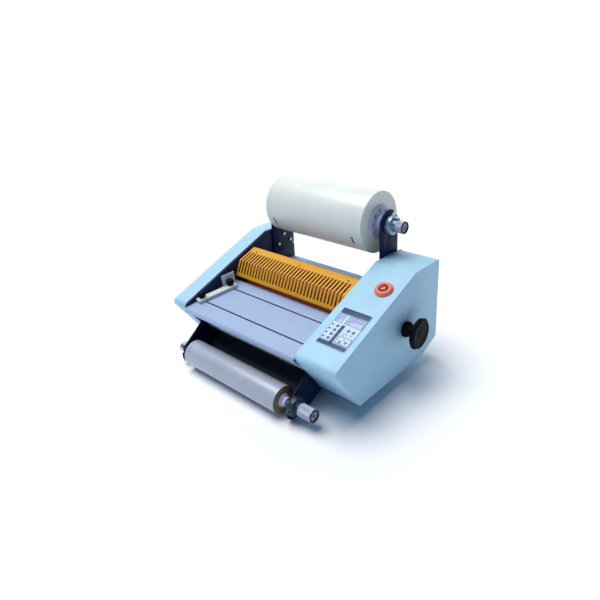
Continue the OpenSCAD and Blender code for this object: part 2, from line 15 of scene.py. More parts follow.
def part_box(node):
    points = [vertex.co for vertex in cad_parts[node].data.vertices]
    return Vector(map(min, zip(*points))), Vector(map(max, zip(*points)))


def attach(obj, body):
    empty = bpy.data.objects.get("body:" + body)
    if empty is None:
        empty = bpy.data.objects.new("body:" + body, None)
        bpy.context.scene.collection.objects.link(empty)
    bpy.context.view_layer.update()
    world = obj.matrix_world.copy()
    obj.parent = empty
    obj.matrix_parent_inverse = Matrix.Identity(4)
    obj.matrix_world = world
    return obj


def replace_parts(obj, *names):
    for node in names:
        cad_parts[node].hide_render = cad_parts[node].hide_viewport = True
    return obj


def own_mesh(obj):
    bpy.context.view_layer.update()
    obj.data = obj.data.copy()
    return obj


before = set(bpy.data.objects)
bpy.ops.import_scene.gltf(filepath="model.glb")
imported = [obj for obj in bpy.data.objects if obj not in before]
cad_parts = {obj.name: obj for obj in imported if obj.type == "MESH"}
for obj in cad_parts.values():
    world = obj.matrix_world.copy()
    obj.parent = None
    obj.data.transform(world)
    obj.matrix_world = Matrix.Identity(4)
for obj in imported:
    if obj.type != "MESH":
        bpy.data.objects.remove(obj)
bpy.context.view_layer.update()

# ---- Places ----

MM = 0.001
UPPER_AXIS = (354, 351)
LOWER_AXIS = (-12, 40)
CAM_AXIS = (253, 148)
NOSE_Z = 162
SLOPE = math.radians(20.7)
TABLE_SLOPE = math.atan(12 / 117)
TABLE_START = (4, 156)
COVER_BACK = 401
PLATE_IN = 190
RIGHT_FACE = 303
FILM_HALF = 160
TRACKS = (43, 126)
GUIDE_X = -179
GUIDE_SKEW = math.radians(11)
GUIDE_REAR_X = GUIDE_X + (TRACKS[1] - TRACKS[0]) * math.tan(GUIDE_SKEW)
GUARD_BEND = (187, 224)
GUARD_SLOPE = math.atan2(20, 56)
ROLLER_YS = (215, 302)
KNOB_X = 214
UPPER_FILM_R = 78
LOWER_FILM_R = 33
STOP_AT = (264, 240)

film_low, film_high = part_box("upper_film")
ORIGIN = Vector((
    (film_low.x + film_high.x) / 2,
    (film_low.y + film_high.y) / 2 - UPPER_AXIS[0] * MM,
    0,
))


def at(x, y, z):
    """A place in the machine's frame, in millimetres, as metres in the row frame."""
    return ORIGIN + Vector((x, y, z)) * MM


def axes(place, x_axis, y_axis, z_axis):
    """A matrix whose local millimetres start at place and run along the three given directions."""
    turn = Matrix((x_axis, y_axis, z_axis)).transposed().to_4x4()
    return Matrix.Translation(place) @ turn @ Matrix.Scale(MM, 4)


def along_x(x, y, z):
    """Local +Z along the machine's +X, as for a roll or a knob on a side."""
    return axes(at(x, y, z), (0, 1, 0), (0, 0, 1), (1, 0, 0))


def on_slope(x, s, n=0):
    """Local x across the cover's slope, y up it, z outwards."""
    c, d = math.cos(SLOPE), math.sin(SLOPE)
    place = at(x, s * c - n * d, NOSE_Z + s * d + n * c)
    return axes(place, (1, 0, 0), (0, c, d), (0, -d, c))


def on_table(x, s, n=0):
    """Local x across the feed table, y along it, z outwards."""
    c, d = math.cos(TABLE_SLOPE), math.sin(TABLE_SLOPE)
    place = at(x, TABLE_START[0] + s * c - n * d, TABLE_START[1] + s * d + n * c)
    return axes(place, (1, 0, 0), (0, c, d), (0, -d, c))


def on_back(x, y, z):
    """Local z outwards from the machine's back."""
    return axes(at(x, y, z), (-1, 0, 0), (0, 0, 1), (0, 1, 0))


def on_plate(x, y, z, side):
    """Local z along X, towards side (+1 or -1)."""
    return axes(at(x, y, z), (0, side, 0), (0, 0, 1), (side, 0, 0))


def on_ground(x, y, z=0):
    """Local axes along the row frame's own."""
    return axes(at(x, y, z), (1, 0, 0), (0, 1, 0), (0, 0, 1))


# ---- Camera, stage and light ----

CAMERA_AT = (879.35, -672.34, 780.67)
CAMERA_AZIMUTH = math.radians(41.97)
CAMERA_ELEVATION = math.radians(23.22)
CAMERA_ROLL = math.radians(-2.58)
ROOM_DIM = (0.05, 0.12, 0.25)
ROOM_WHITE = (1.0, 1.0, 1.0)


def make_camera():
    """The photograph's viewpoint."""
    az, el, roll = CAMERA_AZIMUTH, CAMERA_ELEVATION, CAMERA_ROLL
    right = Vector((math.cos(az), math.sin(az), 0))
    up = Vector((-math.sin(az) * math.sin(el), math.cos(az) * math.sin(el), math.cos(el)))
    right_2 = right * math.cos(roll) + up * math.sin(roll)
    up_2 = up * math.cos(roll) - right * math.sin(roll)
    turn = Matrix((right_2, up_2, right_2.cross(up_2))).transposed().to_4x4()
    data = bpy.data.cameras.new("camera")
    data.sensor_width = 36
    data.lens = 32.067
    data.shift_x = -0.0324
    data.shift_y = -0.0601
    data.clip_end = 60
    camera = bpy.data.objects.new("camera", data)
    camera.matrix_world = Matrix.Translation(at(*CAMERA_AT)) @ turn
    bpy.context.scene.collection.objects.link(camera)
    bpy.context.scene.camera = camera


def make_light(name, towards, strength, colour, spread):
    """A broad soft light from one direction, with the same strength everywhere."""
    data = bpy.data.lights.new(name, "SUN")
    data.energy = strength
    data.color = colour
    data.angle = math.radians(spread)
    lamp = bpy.data.objects.new(name, data)
    lamp.matrix_world = Vector(towards).normalized().to_track_quat("Z", "Y").to_matrix().to_4x4()
    bpy.context.scene.collection.objects.link(lamp)


def make_world():
    """A room that is white beyond the machine's rear left and dim and cool elsewhere."""
    world = bpy.data.worlds.new("studio")
    world.use_nodes = True
    tree = world.node_tree
    direction = tree.nodes.new("ShaderNodeTexCoord").outputs["Generated"]
    facing = tree.nodes.new("ShaderNodeVectorMath")
    facing.operation = "DOT_PRODUCT"
    tree.links.new(direction, facing.inputs[0])
    facing.inputs[1].default_value = (-0.669, 0.743, 0)
    blend = tree.nodes.new("ShaderNodeValToRGB")
    blend.color_ramp.elements[0].position = 0.30
    blend.color_ramp.elements[1].position = 0.72
    blend.color_ramp.elements[0].color = (*ROOM_DIM, 1)
    blend.color_ramp.elements[1].color = (*ROOM_WHITE, 1)
    tree.links.new(facing.outputs["Value"], blend.inputs["Fac"])
    background = tree.nodes["Background"]
    tree.links.new(blend.outputs["Color"], background.inputs["Color"])
    background.inputs["Strength"].default_value = 1.0
    bpy.context.scene.world = world


def linear(r, g, b):
    """An sRGB colour of 0 to 255 as linear light."""
    return tuple(((c / 255 + 0.055) / 1.055) ** 2.4 if c > 10 else c / 255 / 12.92 for c in (r, g, b))


bpy.context.scene.view_settings.view_transform = "Standard"
make_camera()
make_world()
make_light("key", (-0.30, -0.12, 1.0), 3.05, (1.0, 0.965, 0.90), 45)


# ---- Materials ----

def tint(colour, factor):
    return tuple(min(1, c * factor) for c in colour)


class Look:
    """A procedural material: a Principled shader with its colour, roughness and bump from nodes."""

    def __init__(self, name, rough, metal=0.0, **sockets):
        self.material = bpy.data.materials.new(name)
        self.material.use_nodes = True
        self.tree = self.material.node_tree
        self.shader = self.tree.nodes["Principled BSDF"]
        self.shader.inputs["Roughness"].default_value = rough
        self.shader.inputs["Metallic"].default_value = metal
        for socket, value in sockets.items():
            self.shader.inputs[socket.replace("_", " ")].default_value = value
        self.place = self.add("ShaderNodeTexCoord").outputs["Object"]
        self.height = None

    def add(self, kind, **values):
        made = self.tree.nodes.new(kind)
        for key, value in values.items():
            setattr(made, key, value)
        return made

    def link(self, source, target):
        self.tree.links.new(source, target)

    def stretched(self, scale=(1, 1, 1), centre=(0, 0, 0)):
        """Object coordinates measured from centre and scaled along each axis."""
        move = self.add("ShaderNodeVectorMath", operation="SUBTRACT")
        self.link(self.place, move.inputs[0])
        move.inputs[1].default_value = centre
        grow = self.add("ShaderNodeVectorMath", operation="MULTIPLY")
        self.link(move.outputs[0], grow.inputs[0])
        grow.inputs[1].default_value = scale
        return grow.outputs[0]

    def noise(self, scale, detail=3, vector=None):
        made = self.add("ShaderNodeTexNoise")
        made.inputs["Scale"].default_value = scale
        made.inputs["Detail"].default_value = detail
        self.link(vector or self.place, made.inputs["Vector"])
        return made.outputs["Fac"]

    def ramp(self, factor, low, high, start=0.3, stop=0.7):
        """Blends colour low into high as factor goes from start to stop."""
        made = self.add("ShaderNodeValToRGB")
        made.color_ramp.elements[0].position = start
        made.color_ramp.elements[1].position = stop
        made.color_ramp.elements[0].color = (*low, 1)
        made.color_ramp.elements[1].color = (*high, 1)
        self.link(factor, made.inputs["Fac"])
        return made.outputs["Color"]

    def mix(self, factor, a, b, mode="MIX"):
        made = self.add("ShaderNodeMix", data_type="RGBA", blend_type=mode)
        if isinstance(factor, float):
            made.inputs["Factor"].default_value = factor
        else:
            self.link(factor, made.inputs["Factor"])
        for socket, value in (("A", a), ("B", b)):
            target = [i for i in made.inputs if i.name == socket and i.type == "RGBA"][0]
            if isinstance(value, tuple):
                target.default_value = (*value, 1)
            else:
                self.link(value, target)
        return [o for o in made.outputs if o.type == "RGBA"][0]

    def spread(self, factor, low, high):
        """Maps factor 0.3 to 0.7 onto low to high."""
        made = self.add("ShaderNodeMapRange")
        for socket, value in (("From Min", 0.3), ("From Max", 0.7), ("To Min", low), ("To Max", high)):
            made.inputs[socket].default_value = value
        self.link(factor, made.inputs["Value"])
        return made.outputs["Result"]

    def colour(self, source):
        self.link(source, self.shader.inputs["Base Color"])

    def rough(self, factor, low, high):
        self.link(self.spread(factor, low, high), self.shader.inputs["Roughness"])

    def bump(self, factor, depth, strength=1.0):
        """Adds relief of depth millimetres on top of any before it."""
        made = self.add("ShaderNodeBump")
        made.inputs["Strength"].default_value = strength
        made.inputs["Distance"].default_value = depth * MM
        self.link(factor, made.inputs["Height"])
        if self.height:
            self.link(self.height, made.inputs["Normal"])
        self.height = made.outputs["Normal"]
        self.link(self.height, self.shader.inputs["Normal"])


def powder_coat(name, colour, rough=0.42, grain=900, depth=0.05, dust=0.06, gloss=0.4):
    """Sprayed and baked paint: orange-peel grain, slow shifts of tone and a little dust."""
    look = Look(name, rough, Specular_IOR_Level=gloss)
    tone = look.ramp(look.noise(7, 4), tint(colour, 0.95), tint(colour, 1.03))
    specks = look.ramp(look.noise(260, 2), tint(colour, 1 - dust), tint(colour, 1.0), 0.28, 0.42)
    look.colour(look.mix(0.35, tone, specks))
    look.rough(look.noise(45, 4), rough - 0.06, rough + 0.09)
    look.bump(look.noise(grain, 2), depth)
    return look.material


def moulded(name, colour, rough=0.45, grain=1500, depth=0.03, vary=0.08, coat=0.0, gloss=0.4):
    """Moulded plastic with a fine spark texture and faint flow marks."""
    look = Look(name, rough, Coat_Weight=coat, Coat_Roughness=0.12, Specular_IOR_Level=gloss)
    flow = look.noise(18, 3, look.stretched((1, 0.4, 2)))
    look.colour(look.ramp(flow, tint(colour, 1 - vary), tint(colour, 1 + vary)))
    look.rough(look.noise(90, 3), rough - 0.07, rough + 0.08)
    look.bump(look.noise(grain, 2), depth)
    return look.material


def rubber(name, colour, rough=0.62):
    """Ground silicone or moulded rubber: matt, slightly mottled, with fine grinding rings."""
    look = Look(name, rough, Sheen_Weight=0.15, Sheen_Roughness=0.5)
    rings = look.noise(30, 3, look.stretched((40, 1, 1)))
    look.colour(look.ramp(look.noise(25, 4), tint(colour, 0.88), tint(colour, 1.08)))
    look.rough(rings, rough - 0.08, rough + 0.08)
    look.bump(rings, 0.06)
    look.bump(look.noise(1400, 2), 0.03)
    return look.material


def turned_metal(name, colour, rough=0.3, stretch=(1, 60, 60), depth=0.03, metal=1.0):
    """Turned, brushed or plated metal, with its tool marks running across stretch."""
    look = Look(name, rough, metal, Anisotropic=0.35)
    marks = look.noise(40, 4, look.stretched(stretch))
    look.colour(look.mix(0.5, look.ramp(marks, tint(colour, 0.86), tint(colour, 1.05)),
                         look.ramp(look.noise(30, 4), tint(colour, 0.84), tint(colour, 1.06))))
    look.rough(marks, rough - 0.08, rough + 0.12)
    look.bump(marks, depth)
    return look.material


def film(name, colour, shade, axis, rough=0.34):
    """Wound laminating film: satin turns on the outside, fine rings of turns on the ends."""
    centre = at(0, *axis)
    look = Look(name, rough, Coat_Weight=0.35, Coat_Roughness=0.25, Subsurface_Weight=0.12)
    look.shader.inputs["Subsurface Radius"].default_value = (0.004, 0.004, 0.005)
    rings = look.add("ShaderNodeTexWave", wave_type="RINGS", rings_direction="X")
    rings.inputs["Scale"].default_value = 320
    rings.inputs["Distortion"].default_value = 1.5
    rings.inputs["Detail"].default_value = 2
    rings.inputs["Detail Scale"].default_value = 0.4
    look.link(look.stretched(centre=centre), rings.inputs["Vector"])
    geometry = look.add("ShaderNodeNewGeometry")
    facing = look.add("ShaderNodeSeparateXYZ")
    look.link(geometry.outputs["True Normal"], facing.inputs[0])
    end = look.add("ShaderNodeMath", operation="ABSOLUTE")
    look.link(facing.outputs["X"], end.inputs[0])
    bands = look.noise(6, 3, look.stretched((6, 0.6, 0.6), centre))
    outside = look.ramp(bands, tint(colour, 0.97), tint(colour, 1.02))
    turns = look.ramp(rings.outputs["Fac"], shade, tint(shade, 1.16), 0.1, 0.9)
    look.colour(look.mix(end.outputs[0], outside, turns))
    look.rough(bands, rough - 0.05, rough + 0.07)
    depth = look.add("ShaderNodeMath", operation="MULTIPLY")
    look.link(rings.outputs["Fac"], depth.inputs[0])
    look.link(end.outputs[0], depth.inputs[1])
    look.bump(depth.outputs[0], 0.12)
    look.bump(look.noise(9, 3, look.stretched((14, 1, 1), centre)), 0.16)
    return look.material


def cardboard(name, colour):
    """Spiral-wound core: fibres and the slanting joints of the wound strips."""
    look = Look(name, 0.85)
    wave = look.add("ShaderNodeTexWave", wave_type="BANDS", bands_direction="DIAGONAL")
    wave.inputs["Scale"].default_value = 14
    wave.inputs["Distortion"].default_value = 0.6
    look.link(look.place, wave.inputs["Vector"])
    grain = look.noise(420, 4, look.stretched((0.3, 1, 1)))
    fibres = look.ramp(grain, tint(colour, 0.75), tint(colour, 1.15))
    joints = look.ramp(wave.outputs["Fac"], tint(colour, 0.7), colour, 0.02, 0.2)
    look.colour(look.mix(0.25, fibres, joints))
    look.bump(look.noise(600, 3), 0.08)
    return look.material


def board_look(name, colour):
    """Solder mask with a pattern of tracks under it."""
    look = Look(name, 0.35, Coat_Weight=0.4)
    tracks = look.add("ShaderNodeTexBrick")
    tracks.inputs["Scale"].default_value = 220
    tracks.inputs["Color1"].default_value = (*tint(colour, 1.3), 1)
    tracks.inputs["Color2"].default_value = (*colour, 1)
    tracks.inputs["Mortar"].default_value = (*tint(colour, 0.6), 1)
    look.link(look.place, tracks.inputs["Vector"])
    look.colour(tracks.outputs["Color"])
    look.bump(tracks.outputs["Fac"], 0.04)
    return look.material


SKY = linear(166, 210, 233)
PLATE_NAVY = linear(16, 36, 72)
PRINT_NAVY = linear(34, 66, 112)

LOOKS = {
    "cover": powder_coat("cover_paint", SKY, 0.45),
    "rear": powder_coat("rear_paint", linear(160, 206, 240), 0.45),
    "plate": powder_coat("plate_paint", PLATE_NAVY, 0.5, 700, 0.07, 0.15, 0.25),
    "arm": powder_coat("arm_paint", linear(4, 26, 62), 0.5, 700, 0.07, 0.15, 0.15),
    "pan": powder_coat("pan_paint", linear(66, 66, 68), 0.55, 700, 0.08, 0.2, 0.25),
    "table": powder_coat("table_paint", linear(158, 180, 214), 0.45, 1000, 0.04),
    "guard": powder_coat("guard_paint", linear(226, 163, 42), 0.45, 800, 0.06, 0.1, 0.25),
    "silicone": rubber("silicone_sleeve", linear(150, 60, 36), 0.5),
    "foot_rubber": rubber("foot_rubber", linear(30, 30, 32), 0.7),
    "ivory": moulded("ivory_plastic", linear(212, 218, 214), 0.5, 900, 0.05),
    "black": moulded("black_plastic", linear(13, 14, 17), 0.5, 1100, 0.04, 0.12, 0, 0.06),
    "matt_black": moulded("matt_black_plastic", linear(30, 31, 34), 0.6, 900, 0.06, 0.12),
    "overlay": moulded("overlay_film", linear(190, 216, 232), 0.4, 1800, 0.02, 0.02),
    "print_navy": moulded("print_navy", PRINT_NAVY, 0.42, 1800, 0.02, 0.05),
    "print_grey": moulded("print_grey", linear(76, 96, 128), 0.45, 1800, 0.02, 0.05),
    "window": moulded("window_plastic", linear(160, 172, 222), 0.18, 1500, 0.01, 0.06, 0.6),
    "segments": moulded("segment_print", linear(140, 150, 206), 0.3, 1500, 0.01, 0.05),
    "key": moulded("key_plastic", linear(84, 104, 136), 0.45, 1200, 0.03),
    "key_run": moulded("key_run_plastic", linear(96, 140, 130), 0.45, 1200, 0.03),
    "key_stop": moulded("key_stop_plastic", linear(206, 108, 112), 0.45, 1200, 0.03),
    "salmon": moulded("salmon_plastic", linear(236, 122, 92), 0.42, 1000, 0.04, 0.05, 0.1),
    "red": moulded("red_plastic", linear(140, 24, 38), 0.25, 1200, 0.02, 0.12, 0.5),
    "lavender": moulded("lavender_plastic", linear(206, 206, 232), 0.45, 1000, 0.04, 0.06),
    "acetal": moulded("acetal", linear(228, 226, 214), 0.5),
    "tape": moulded("navy_tape", linear(40, 58, 92), 0.35, 700, 0.03, 0.15, 0.2),
    "steel": turned_metal("turned_steel", linear(196, 200, 208), 0.3),
    "zinc": turned_metal("blue_zinc", linear(142, 166, 186), 0.42, (60, 1, 1), 0.03, 0.7),
    "dark_zinc": turned_metal("dark_zinc", linear(60, 80, 90), 0.45, (60, 1, 1), 0.03, 0.7),
    "alloy": turned_metal("knurled_alloy", linear(178, 182, 204), 0.55, (1, 30, 30), 0.03, 0.45),
    "knob_ring": moulded("knob_ring_plastic", linear(52, 54, 64), 0.5, 1100, 0.04, 0.1, 0, 0.2),
    "cast": turned_metal("cast_alloy", linear(120, 122, 126), 0.55, (1, 1, 1), 0.12),
    "bronze": turned_metal("sintered_bronze", linear(176, 142, 92), 0.45),
    "card": cardboard("cardboard_core", linear(186, 160, 128)),
    # The lower core's darker board colour is partly painted shade, for the lower roll's end lying in
    # shadow under the table, and partly a darker board.
    "dark_card": cardboard("dark_cardboard_core", linear(120, 94, 66)),
    "board": board_look("circuit_board", linear(28, 92, 52)),
    "upper_film": film("upper_film_look", linear(230, 236, 230), linear(222, 228, 214), UPPER_AXIS),
    # The lower film's brown end colour is partly painted shade, for the end lying in shadow under the
    # table, and partly this film's own tone.
    "lower_film": film("lower_film_look", linear(170, 178, 194), linear(128, 104, 76), LOWER_AXIS, 0.3),
}

NODE_LOOKS = {
    "cover": ["left_cover", "right_cover"],
    "rear": ["rear_cover"],
    "plate": ["left_side_plate", "right_side_plate"],
    "arm": ["upper_left_arm", "upper_right_arm", "lower_left_arm", "lower_right_arm"],
    "pan": ["base_pan"],
    "table": ["feed_table"],
    "guard": ["roller_guard"],
    "silicone": ["front_lower_roller", "front_upper_roller", "rear_lower_roller", "rear_upper_roller"],
    "ivory": ["side_guide"],
    "matt_black": ["power_inlet"],
    "overlay": ["panel_overlay"],
    "window": ["display_windows"],
    "key": ["key_preset_1", "key_preset_2", "key_preset_3", "key_preset_4", "key_up", "key_down"],
    "key_run": ["key_run"],
    "key_stop": ["key_stop"],
    "salmon": ["stop_shroud"],
    "red": ["power_rocker"],
    "lavender": ["upper_chucks", "lower_chucks"],
    "acetal": ["transfer_gear"],
    "steel": ["upper_shaft", "lower_shaft", "cam_shaft", "lift_yokes", "guard_pins", "film_idler",
              "pressure_springs", "motor_pinion", "front_roller_gear", "rear_roller_gear"],
    "zinc": ["upper_brake", "frame_screws"],
    "dark_zinc": ["lower_brake"],
    "cast": ["drive_motor"],
    "bronze": ["bearing_bushes"],
    "card": ["upper_core"],
    "dark_card": ["lower_core"],
    "board": ["control_board"],
}

# Corners sharper than these angles are rounded over, and shaded as edges
ROUNDED_EDGE = math.radians(32)
SHARP_EDGE = math.radians(28)

# Width in millimetres of the rounded edge on each CAD node's sharp corners
EDGES = {
    "left_cover": 1.6, "right_cover": 1.6, "rear_cover": 0.6, "left_side_plate": 0.5,
    "right_side_plate": 0.5, "upper_left_arm": 0.7, "upper_right_arm": 0.7, "lower_left_arm": 0.7,
    "lower_right_arm": 0.7, "base_pan": 0.5, "feed_table": 0.5, "roller_guard": 0.35,
    "side_guide": 0.8, "power_inlet": 0.4, "panel_overlay": 0.3, "display_windows": 0.3,
    "power_rocker": 0.6, "stop_shroud": 0.8, "upper_chucks": 0.5, "lower_chucks": 0.5,
    "upper_brake": 0.5, "lower_brake": 0.5, "drive_motor": 1.2, "lift_yokes": 0.5,
}


def finish_node(name, look):
    """Gives a CAD node its material, smooth shading and small rounded edges."""
    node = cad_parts[name]
    node.data.materials.clear()
    node.data.materials.append(LOOKS[look])
    weld = node.modifiers.new("weld", "WELD")
    weld.merge_threshold = 0.00001
    if name in EDGES:
        if name.endswith("_arm"):
            merge = node.modifiers.new("merge", "DECIMATE")
            merge.decimate_type = "DISSOLVE"
            merge.angle_limit = math.radians(0.5)
        bevel = node.modifiers.new("edge", "BEVEL")
        bevel.width = EDGES[name] * MM
        bevel.segments = 2
        bevel.limit_method = "ANGLE"
        bevel.angle_limit = ROUNDED_EDGE
        bevel.use_clamp_overlap = True
    for face in node.data.polygons:
        face.use_smooth = True
    split = node.modifiers.new("split", "EDGE_SPLIT")
    split.split_angle = SHARP_EDGE


for look_name, node_names in NODE_LOOKS.items():
    for node_name in node_names:
        finish_node(node_name, look_name)


# ---- Mesh kit ----

def put(name, bm, look, body, bevel=0.0):
    """Turns a bmesh in row-frame metres into a piece that rides on body."""
    bmesh.ops.recalc_face_normals(bm, faces=bm.faces)
    data = bpy.data.meshes.new(name)
    bm.to_mesh(data)
    bm.free()
    for face in data.polygons:
        face.use_smooth = True
    piece = bpy.data.objects.new(name, data)
    bpy.context.scene.collection.objects.link(piece)
    data.materials.append(LOOKS[look])
    if bevel:
        edge = piece.modifiers.new("edge", "BEVEL")
        edge.width = bevel * MM
        edge.segments = 2
        edge.limit_method = "ANGLE"
        edge.angle_limit = ROUNDED_EDGE
    split = piece.modifiers.new("split", "EDGE_SPLIT")
    split.split_angle = SHARP_EDGE
    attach(piece, body)
    return piece


def lathe(bm, matrix, profile, segments=64, flutes=0):
    """Adds a turned solid about local +Z. A profile point is (z, radius) or (z, radius, flute depth)."""
    rings = []
    for point in profile:
        z, r = point[0], point[1]
        cut = point[2] if len(point) > 2 else 0
        if r == 0:
            rings.append([bm.verts.new(matrix @ Vector((0, 0, z)))])
            continue
        ring = []
        for k in range(segments):
            a = 2 * math.pi * k / segments
            rr = r - cut * (0.5 - 0.5 * math.cos(flutes * a)) ** 1.5 if cut else r
            ring.append(bm.verts.new(matrix @ Vector((rr * math.cos(a), rr * math.sin(a), z))))
        rings.append(ring)
    for low, high in zip(rings, rings[1:]):
        for k in range(segments):
            n = (k + 1) % segments
            if len(low) == 1:
                bm.faces.new((low[0], high[n], high[k]))
            elif len(high) == 1:
                bm.faces.new((low[k], low[n], high[0]))
            else:
                bm.faces.new((low[k], low[n], high[n], high[k]))


def rounded_outline(x0, y0, x1, y1, r, steps=4):
    """Points round a rectangle with rounded corners."""
    points = []
    corners = ((x1 - r, y1 - r, 0), (x0 + r, y1 - r, 90), (x0 + r, y0 + r, 180), (x1 - r, y0 + r, 270))
    for cx, cy, start in corners:
        for i in range(steps + 1):
            a = math.radians(start + 90 * i / steps)
            points.append((cx + r * math.cos(a), cy + r * math.sin(a)))
    return points


def slab(bm, matrix, points, z0, z1):
    """Adds a flat plate with the given outline between local heights z0 and z1."""
    low = [bm.verts.new(matrix @ Vector((x, y, z0))) for x, y in points]
    high = [bm.verts.new(matrix @ Vector((x, y, z1))) for x, y in points]
    bm.faces.new(list(reversed(low)))
    bm.faces.new(high)
    count = len(points)
    for k in range(count):
        n = (k + 1) % count
        bm.faces.new((low[k], low[n], high[n], high[k]))


def band(bm, matrix, x0, y0, x1, y1, r, width, z0, z1):
    """Adds a rectangular outline of the given line width."""
    outer = rounded_outline(x0, y0, x1, y1, r)
    inner = rounded_outline(x0 + width, y0 + width, x1 - width, y1 - width, max(r - width, 0.05))
    loops = [[bm.verts.new(matrix @ Vector((x, y, z))) for x, y in points]
             for points, z in ((outer, z0), (outer, z1), (inner, z1), (inner, z0))]
    count = len(outer)
    for a, b in zip(loops, loops[1:] + loops[:1]):
        for k in range(count):
            n = (k + 1) % count
            bm.faces.new((a[k], a[n], b[n], b[k]))


def screw_head(bm, matrix, r, height, rings=9, segments=40):
    """Adds a domed screw head with a cross recess, as one height field over a disc."""
    arm, half = r * 0.52, r * 0.13

    def top(x, y):
        d = math.hypot(x, y)
        dome = height * (1 - 0.45 * (d / r) ** 2)
        inside = (abs(x) < arm and abs(y) < half) or (abs(y) < arm and abs(x) < half)
        return dome * 0.35 if inside else dome

    centre = bm.verts.new(matrix @ Vector((0, 0, height * 0.35)))
    loops = []
    for i in range(1, rings + 1):
        d = r * i / rings
        loops.append([bm.verts.new(matrix @ Vector((
            d * math.cos(2 * math.pi * k / segments),
            d * math.sin(2 * math.pi * k / segments),
            top(d * math.cos(2 * math.pi * k / segments), d * math.sin(2 * math.pi * k / segments)),
        ))) for k in range(segments)])
    loops.append([bm.verts.new(matrix @ Vector((
        r * math.cos(2 * math.pi * k / segments), r * math.sin(2 * math.pi * k / segments), 0)))
        for k in range(segments)])
    for k in range(segments):
        bm.faces.new((centre, loops[0][k], loops[0][(k + 1) % segments]))
    for a, b in zip(loops, loops[1:]):
        for k in range(segments):
            n = (k + 1) % segments
            bm.faces.new((a[k], b[k], b[n], a[n]))


# ---- Film rolls ----

def end_profile(stop, outer, inner):
    """The section of one roll's end, from its outside in, with a few turns standing proud or low."""
    steps, edge, unevenness = 14, 0.5, 0.22
    points = []
    for i in range(steps + 1):
        r = outer - edge - (outer - edge - inner) * i / steps
        points.append((stop - 0.25 - unevenness * math.sin(i * 2.3) - (0.25 if i == 0 else 0), r))
    return points


def film_roll(name, node, axis, outer, inner, body):
    """A wound roll with softly uneven ends."""
    bm = bmesh.new()
    right = end_profile(FILM_HALF, outer, inner)
    left = [(-z, r) for z, r in right]
    barrel = [(-FILM_HALF + 0.6, outer - 0.1), (-FILM_HALF + 1.4, outer), (0, outer),
              (FILM_HALF - 1.4, outer), (FILM_HALF - 0.6, outer - 0.1)]
    loop = list(reversed(left)) + barrel + right
    lathe(bm, along_x(0, *axis), loop + [loop[0]], 192)
    bmesh.ops.remove_doubles(bm, verts=bm.verts, dist=0.000001)
    piece = put(name, bm, node, body)
    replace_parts(piece, node)


def tape_mark(name, x, slant):
    """A short strip of tape bent round the upper roll, that holds the film's end down."""
    bm = bmesh.new()
    steps, width, lift = 8, 5.0, 0.12
    start, stop = 196, 212
    rows = []
    for i in range(steps + 1):
        a = math.radians(start + (stop - start) * i / steps)
        lean = slant * i / steps
        rows.append([bm.verts.new(at(x + lean + side * width / 2,
                                     UPPER_AXIS[0] + (UPPER_FILM_R + h) * math.cos(a),
                                     UPPER_AXIS[1] + (UPPER_FILM_R + h) * math.sin(a)))
                     for side, h in ((-1, -0.1), (-1, lift), (1, lift), (1, -0.1))])
    for a, b in zip(rows, rows[1:]):
        for k in range(4):
            bm.faces.new((a[k], a[(k + 1) % 4], b[(k + 1) % 4], b[k]))
    bm.faces.new(rows[0])
    bm.faces.new(list(reversed(rows[-1])))
    put(name, bm, "tape", "upper_roll")


film_roll("upper_film_roll", "upper_film", UPPER_AXIS, UPPER_FILM_R, 43.8, "upper_roll")
film_roll("lower_film_roll", "lower_film", LOWER_AXIS, LOWER_FILM_R, 16.5, "lower_roll")
tape_mark("film_tape_left", -136, 5.0)
tape_mark("film_tape_right", 131, 2.0)


def flange_plugs():
    """Dark plugs in the holes round the upper spool's two flanges."""
    bm = bmesh.new()
    count, circle_r = 9, 31.5
    for side in (-1, 1):
        for i in range(count):
            a = math.radians(360 * i / count + 15)
            place = at(side * (FILM_HALF + 0.4),
                       UPPER_AXIS[0] + circle_r * math.cos(a),
                       UPPER_AXIS[1] + circle_r * math.sin(a))
            lathe(bm, axes(place, (0, side, 0), (0, 0, 1), (side, 0, 0)),
                  [(0, 0), (0, 3.2), (2.4, 3.2), (2.7, 2.6), (2.4, 1.4), (2.4, 0)], 20)
    put("flange_plugs", bm, "knob_ring", "upper_roll")


flange_plugs()


# ---- Knobs and buttons ----

def tension_knob(name, node, axis, length, r, bore, body):
    """Knurled alloy nut with a dark plastic ring let into its end."""
    bm = bmesh.new()
    knurl = 0.55
    lathe(bm, along_x(KNOB_X, *axis), [
        (0.05, bore), (0.05, r - 0.8), (0.8, r, 0), (2.6, r, 0), (3.0, r - 0.2, knurl),
        (length - 3, r - 0.2, knurl), (length - 2.6, r, 0), (length - 0.6, r, 0), (length, r - 0.8),
        (length, bore), (0.05, bore)], 180, 45)
    bmesh.ops.remove_doubles(bm, verts=bm.verts, dist=0.000001)
    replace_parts(put(name, bm, "alloy", body), node)
    ring = bmesh.new()
    lathe(ring, along_x(KNOB_X + length, *axis), [
        (0.02, r - 4.6), (0.02, r - 1), (0.6, r - 0.6), (2.8, r - 0.6), (3.4, r - 1.4),
        (3.4, r - 3.6), (2.6, r - 4.2), (0.02, r - 4.6)], 96)
    bmesh.ops.remove_doubles(ring, verts=ring.verts, dist=0.000001)
    put(name + "_ring", ring, "knob_ring", body)


tension_knob("upper_knurled_knob", "upper_tension_knob", UPPER_AXIS, 18, 15.5, 6.1, "upper_knob")
tension_knob("lower_knurled_knob", "lower_tension_knob", LOWER_AXIS, 36, 15.2, 4.6, "lower_knob")


